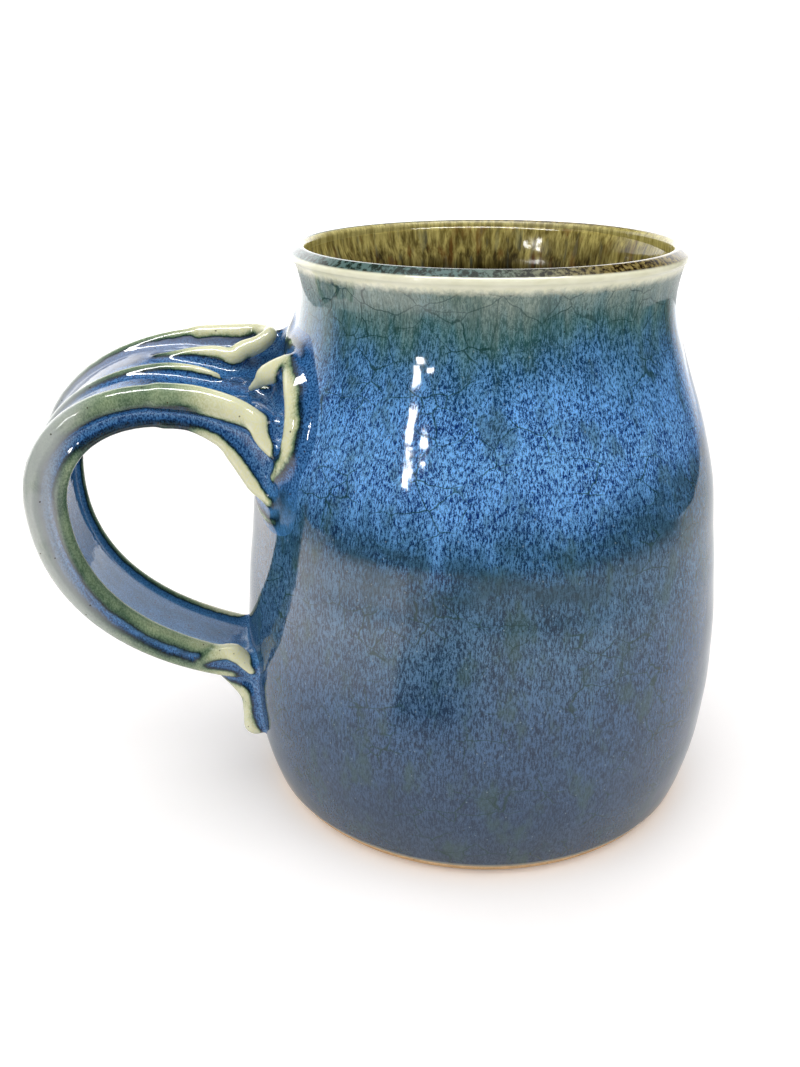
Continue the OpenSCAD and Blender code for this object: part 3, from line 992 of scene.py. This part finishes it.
def bare_clay(name, tint):
    """Unglazed buff stoneware with iron specks and faint turning lines."""
    k = Book(name)
    tone = k.noise((0.35, 0.35, 0.6), 3, 0.6, 4.0)
    grit = k.noise((3.2, 3.2, 3.2), 2, 0.6, 12.0)
    colour = k.mix(k.step(tone, 0.3, 0.7), tint, tuple(min(255, c + 22) for c in tint))
    colour = k.mix(k.times(k.step(grit, 0.35, 0.7), 0.35), colour, (176, 138, 98))
    speck = k.step(k.cells((0.5, 0.5, 0.5), seed=3.0), 0.12, 0.05)
    colour = k.mix(k.times(speck, 0.7), colour, (112, 76, 46))
    lines = k.noise((0.15, 0.15, 3.5), 2, 0.5, 8.0)
    height = k.plus(k.times(grit, 0.6), lines)
    k.bump(height, 0.09)
    return k.surface(colour, k.step(tone, 0.2, 0.8, 0.62, 0.78))


def floor_material():
    """White table; only its mirror image in the glaze shows the photographer's shade. It glows faintly to
    the camera, and left of the mug it glows for the glaze's mirror image alone, painting a pale reflection
    there.
    """
    k = Book("pale_table")
    veil = k.noise((0.02, 0.02, 0.02), 2, 0.5, 1.0)
    colour = k.mix(veil, (249, 247, 246), (252, 251, 250))
    azimuth = k.times(k.maths("ARCTAN2", k.x, k.times(k.y, -1.0)), 180 / math.pi)
    shade = k.times(k.step(azimuth, -48, -43), k.step(azimuth, -2, -32))
    shade = k.times(shade, k.step(k.radius, 78, 135))
    front = k.times(k.step(k.radius, 160, 400), k.step(k.y, 20, -80))
    shade = k.maths("MAXIMUM", shade, front)
    path = k.node("LightPath").outputs
    mirrored = path["Is Glossy Ray"]
    colour = k.mix(k.times(k.times(shade, mirrored), 0.92), colour, (30, 30, 34))
    # painted light: the floor glows faintly warm to the camera, lightening and warming the shadows on it
    glow = k.times(path["Is Camera Ray"], 0.16)
    # painted reflection: left of the mug the floor glows only for glossy rays, so the glaze shows a pale
    # sheen on its left side
    beside = k.times(mirrored, k.step(k.x, -80, -190, 0.0, 1.3))
    beside = k.times(beside, k.step(k.radius, 400, 220))
    glow = k.plus(glow, beside)
    return k.surface(colour, k.step(veil, 0.2, 0.8, 0.55, 0.65), Emission_Color=(1, 0.90, 0.86),
                     Emission_Strength=glow)


# ---------------------------------------------------------------- the pieces


def clay_profile():
    """The whole pot's clay, from the middle of the foot round to the middle of the floor."""
    stand_r = inside_r(0) + wall_t(0) - GLAZE_T - 0.8
    ring_r = stand_r - STAND_W
    dish = np.linspace(0, ring_r - 2.5, 40)
    hollow = np.stack([dish, FOOT_HOLLOW + 0.05 * np.cos(dish * 1.9) * smoothstep(dish, 1, 5)], -1)
    slope = arc((ring_r - 2.2, 0.9), 1.6, 90, 0, 10) + [0.7, 0]
    ring = np.array([[ring_r + 0.4, 0.15], [ring_r + 0.9, 0.0], [stand_r - 0.4, 0.0]])
    easing = arc((stand_r - 0.3, 0.9), 0.9, -80, -5, 8)
    outside = outside_profile(1.0, GLAZE_T, 110)
    lip = lip_profile(GLAZE_T, 8)[: -len(TUCK)]
    inside = inside_profile(GLAZE_T, 90, 12)
    return np.vstack([hollow, slope, ring, easing, outside, lip, inside])


def glaze_hem():
    """The thick rolled edge where the glaze stopped above the foot."""
    r0 = float(np.interp(BARE_H, HEIGHTS, OUTER))
    return arc((r0 - 0.22, BARE_H + 0.3), 0.34, -110, -5, 7)


def dress(piece, look, slot, *nodes):
    """Gives a piece its material and its body, and hides the CAD nodes it stands for.
    The slot argument is not used.
    """
    piece.data.materials.append(look)
    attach(piece, "root")
    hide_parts(*nodes)


OVERLAP = 0.02    # how far the outside coat reaches into the clay, and the liner stops short

clay = lathe("clay_pot", clay_profile(), 320, push_outside)
outer_rows = 160
outer_skin = np.vstack([glaze_hem(), outside_profile(BARE_H + 0.6, 0, outer_rows), lip_profile(0, 14)])
coat_t = GLAZE_T + OVERLAP
inner_skin = np.vstack([outside_profile(BARE_H + 0.1, coat_t, 40), lip_profile(coat_t, 6)])
coat = lathe("outside_glaze_coat", np.vstack([outer_skin, inner_skin[::-1]]), 380, push_outside)
liner_in = inside_profile(0, 110, 40)
liner_out = inside_profile(GLAZE_T - OVERLAP, 60, 20)
liner = lathe("liner_glaze_coat", np.vstack([liner_out[::-1], liner_in]), 300, push_inside)
handle = build_handle()
add_pool(handle, 26)

dress(clay, bare_clay("buff_stoneware", (218, 178, 128)), "bare_stoneware", "thrown_body")
dress(coat, blue_glaze(), "blue_glaze", "outside_glaze")
dress(liner, olive_glaze(), "olive_glaze", "liner_glaze")
dress(handle, handle_glaze(), "handle_glaze", "pulled_handle", "handle_glaze")

slip = bare_clay("fired_slip", (200, 170, 134))
for name in ("upper_slip_joint", "lower_slip_joint"):
    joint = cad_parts[name]
    joint.data.materials.clear()
    joint.data.materials.append(slip)


# ---------------------------------------------------------------- floor, light and camera

CAMERA_LENS = 34.73      # millimetres, on a 36 mm sensor
CAMERA_PLACE = (-52.9, -197.45, 139.3)    # millimetres, for a mug 114 mm high
CAMERA_AIM = (0.16321, 0.90620, -0.39009)
CAMERA_ROLL = -0.32      # degrees
OPENING_AZIMUTH = 6      # where the tent opens, in degrees from -Y towards +X
ROOM_LIGHT = 0.08        # the dark room seen through the opening
TENT_LIGHT = 2.2
OVERHEAD_LIGHT = 0.9
FLOOR_HALF = 450.0


def make_floor():
    half = FLOOR_HALF
    co = [[-half, -half, 0], [half, -half, 0], [half, half, 0], [-half, half, 0]]
    floor = mesh_object("floor", co, [np.array([[0, 1, 2, 3]])], smooth=False)
    floor.data.materials.append(floor_material())


def softbox(name, aim, azimuth, elevation, distance, size, power, seen_in):
    """A rectangular lamp seen from aim at the given azimuth and elevation (0 is -Y, 90 is +X).
    It lights only the diffuse or only the glossy side of a surface, as seen_in says."""
    lamp = bpy.data.lights.new(name, "AREA")
    lamp.shape = "RECTANGLE"
    lamp.size, lamp.size_y = size
    lamp.energy = power
    a, e = math.radians(azimuth), math.radians(elevation)
    back = Vector((math.sin(a) * math.cos(e), -math.cos(a) * math.cos(e), math.sin(e)))
    thing = bpy.data.objects.new(name, lamp)
    thing.matrix_world = Matrix.Translation(Vector(aim) + back * distance) @ (-back).to_track_quat(
        "-Z", "Y").to_matrix().to_4x4()
    thing.visible_camera = False
    thing.visible_diffuse = seen_in == "diffuse"
    thing.visible_glossy = seen_in == "glossy"
    bpy.context.scene.collection.objects.link(thing)


def make_world():
    """A white tent open towards the front. The camera sees it white; the glaze mirrors it
    only behind and beside the mug."""
    world = bpy.data.worlds.new("white_tent")
    bpy.context.scene.world = world
    world.use_nodes = True
    k = Nodes(world.node_tree)
    where = k.node("TexCoord").outputs["Generated"]
    up = k.split(where)[2]
    a = math.radians(OPENING_AZIMUTH)
    facing = k.node("VectorMath", operation="DOT_PRODUCT")
    k.link(where, facing.inputs[0])
    facing.inputs[1].default_value = (math.sin(a), -math.cos(a), 0.0)
    tent = k.step(facing.outputs["Value"], -0.32, -0.80, ROOM_LIGHT, TENT_LIGHT)
    tent = k.times(tent, k.step(up, 0.68, 0.40))
    light = k.maths("MAXIMUM", tent, k.step(up, 0.74, 0.96, 0.0, OVERHEAD_LIGHT))
    path = k.node("LightPath").outputs
    boost = k.plus(k.times(path["Is Glossy Ray"], 0.35), 0.75)
    sky = world.node_tree.nodes["Background"]
    k.link(k.maths("MAXIMUM", k.times(light, boost), path["Is Camera Ray"]), sky.inputs["Strength"])
    sky.inputs["Color"].default_value = (1, 1, 1, 1)


def make_camera():
    """The photographed viewpoint: from the front, a little above, with the handle on the left."""
    data = bpy.data.cameras.new("camera")
    data.sensor_width = 36
    data.lens = CAMERA_LENS
    data.clip_start = 0.01
    camera = bpy.data.objects.new("camera", data)
    bpy.context.scene.collection.objects.link(camera)
    camera.location = Vector(CAMERA_PLACE) * (METRES * MUG_H / 114)
    turned = Vector(CAMERA_AIM).to_track_quat("-Z", "Y").to_matrix().to_4x4()
    camera.matrix_world = Matrix.Translation(camera.location) @ turned @ Matrix.Rotation(
        math.radians(CAMERA_ROLL), 4, "Z")
    bpy.context.scene.camera = camera


make_floor()
make_world()
softbox("top_fill", (0, 0, 0.05), 0, 88, 0.9, (1.2, 1.2), 7, "diffuse")
softbox("left_fill", (0, 0, 0.06), -60, 30, 0.9, (0.9, 0.9), 3.5, "diffuse")
softbox("right_fill", (0, 0, 0.06), 50, 30, 0.9, (0.9, 0.9), 3, "diffuse")
softbox("window_a", (-0.0205, -0.0323, 0.0957), -54.1, 18.0, 0.5, (0.035, 0.045), 0.2, "glossy")
softbox("window_b", (-0.0185, -0.0354, 0.0911), -46.0, 17.5, 0.5, (0.03, 0.014), 0.07, "glossy")
softbox("window_c", (-0.0225, -0.0362, 0.0835), -52.6, 13.6, 0.5, (0.035, 0.04), 0.17, "glossy")
softbox("strip", (-0.06, -0.01, 0.09), 0, 84, 0.8, (0.9, 0.12), 11.0, "glossy")
make_camera()

bpy.context.scene.view_settings.view_transform = "Standard"
